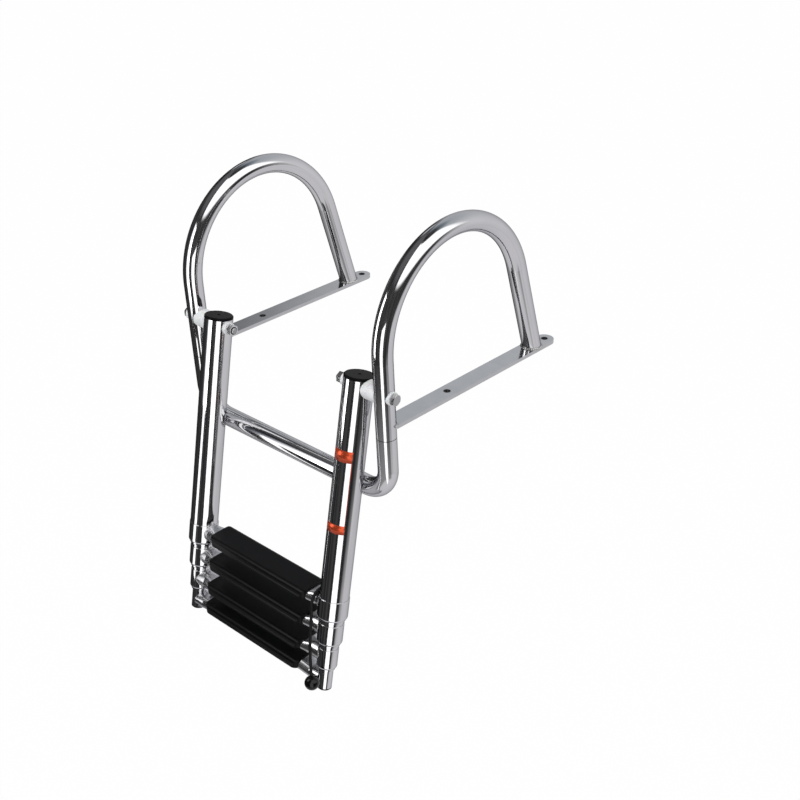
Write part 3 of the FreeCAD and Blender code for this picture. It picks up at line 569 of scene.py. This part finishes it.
def light_card(name, spot, facing, wide, low, high, strength, fade):
    """An upright card of light that only steel and plastic mirror. It fades out at one end."""
    card_white, tree, place = new_material(name)
    turned = math.radians(-facing)
    parts = Value.node(tree, "SeparateXYZ", None, {"Vector": place})
    to_end = ((parts - spot[0]) * math.cos(turned)
              + (parts.beside(1) - spot[1]) * math.sin(turned))
    glow = to_end.ramp(wide / 2, wide / 2 - fade).mix(card_dark, full_white)
    shine = Value.node(tree, "Emission", None, {"Color": glow, "Strength": strength})
    Value.node(tree, "OutputMaterial", None, {"Surface": shine})
    card = flat_sheet(name, card_white, wide, high - low,
                      Matrix.Translation((*spot, (low + high) / 2))
                      @ Matrix.Rotation(turned, 4, "Z")
                      @ Matrix.Rotation(math.radians(90), 4, "X"))
    card.visible_camera = False
    card.visible_diffuse = False
    card.visible_transmission = False
    card.visible_shadow = False


light_card("right_card", (0.56, -0.72), 90, 0.56, -0.62, 0.17, 1.7, sharp)
light_card("left_card", (-0.0773, -0.565), -150, 0.26, -0.13, 0.42, 4.0, 0.19)
light_card("left_leg_card", (0.008, -0.36), 180, 0.04, -0.34, -0.06, 1.7, sharp)

world = bpy.data.worlds.new("studio")
world.use_nodes = True
bpy.context.scene.world = world
tree = world.node_tree
tree.nodes.clear()
ray = Value.node(tree, "TexCoord", output="Generated")
across = Value.node(tree, "SeparateXYZ", None, {"Vector": ray})
along = across.beside(1)
above = across.beside(2)
height = above.math("ARCSINE", above) * degrees


def soft_box(turn, half_turn, low, high, soft, slope=0.0):
    """Where a box of light stands round the ladder: degrees from inboard towards the right bar."""
    c, s = math.cos(math.radians(turn)), math.sin(math.radians(turn))
    aside = along.math("ARCTAN2", across * c - along * s, across * s + along * c) * degrees
    level = height - aside * slope
    sides = aside.plain().ramp(half_turn + soft, half_turn - soft)
    return sides * level.ramp(low - soft, low + soft) * level.ramp(high + soft, high - soft)


drape_scale = (7.0, 7.0, 1.2)
drapes = noise(tree, Value.node(tree, "Mapping", None, {"Vector": ray, "Scale": drape_scale}), 1.0)
glow = drapes.ramp(0.35, 0.65).mix((0.02, 0.021, 0.023), (0.06, 0.059, 0.058))
rear_grey = height.ramp(55, 0).mix((0.46, 0.49, 0.52), (0.74, 0.74, 0.76))
low_grey = (0.70, 0.69, 0.71)
for where, colour in (
        (soft_box(-125, 65, 45, 90, 8.0), (0.12, 0.12, 0.125)),  # dim ceiling, left and outboard
        (soft_box(-1, 55, 45, 68, 6.0), (0.20, 0.23, 0.26)),  # bluish edge above the rear box
        (soft_box(-1, 49, -25, 57, 7.0), rear_grey),  # rear box, darker towards its top
        (soft_box(-61, 7, 27, 41, 4.0), (0.62, 0.63, 0.65)),  # small box left of the rear one
        (soft_box(97, 53, 22, 82, 5.0, 0.35), (1.6, 1.6, 1.6)),  # bright high box on the right
        (soft_box(22, 56, -90, -14, 5.0), low_grey),  # floor under the rear box
        (height.ramp(-30, -36), (0.30, 0.295, 0.30)),  # darker floor all round
        (soft_box(30, 70, -90, -30, 9.0), low_grey),  # lit floor inboard
        (height.ramp(-42, -50), low_grey)):  # lit floor straight below
    glow = where.mix(glow, colour)
plain = Value.node(tree, "Background", None, {"Color": full_white, "Strength": 0.75})
shiny = Value.node(tree, "Background", None, {"Color": glow, "Strength": 1.0})
backdrop = Value.node(tree, "Background", None, {"Color": full_white, "Strength": 1.0})
is_camera = Value.node(tree, "LightPath", output="Is Camera Ray")
is_glossy = Value.node(tree, "LightPath", output="Is Glossy Ray")
lit = Value.node(tree, "MixShader", None, {0: is_glossy, 1: plain, 2: shiny})
sky = Value.node(tree, "MixShader", None, {0: is_camera, 1: lit, 2: backdrop})
Value.node(tree, "OutputWorld", None, {"Surface": sky})


def soft_lamp(name, spot, size, watts):
    """A large square lamp that shines on the ladder's middle and isn't mirrored."""
    data = bpy.data.lights.new(name, "AREA")
    data.shape = "SQUARE"
    data.size = size
    data.energy = watts
    lamp = bpy.data.objects.new(name, data)
    lamp.location = spot
    aim = Vector((0.17, -0.15, 0.0)) - Vector(spot)
    lamp.rotation_euler = aim.to_track_quat("-Z", "Y").to_euler()
    lamp.visible_glossy = False
    bpy.context.scene.collection.objects.link(lamp)


soft_lamp("key_lamp", (1.2, -0.6, 1.8), 1.0, 14.0)
soft_lamp("fill_lamp", (-1.4, -1.2, 1.2), 1.2, 7.0)

bpy.context.scene.view_settings.view_transform = "Standard"
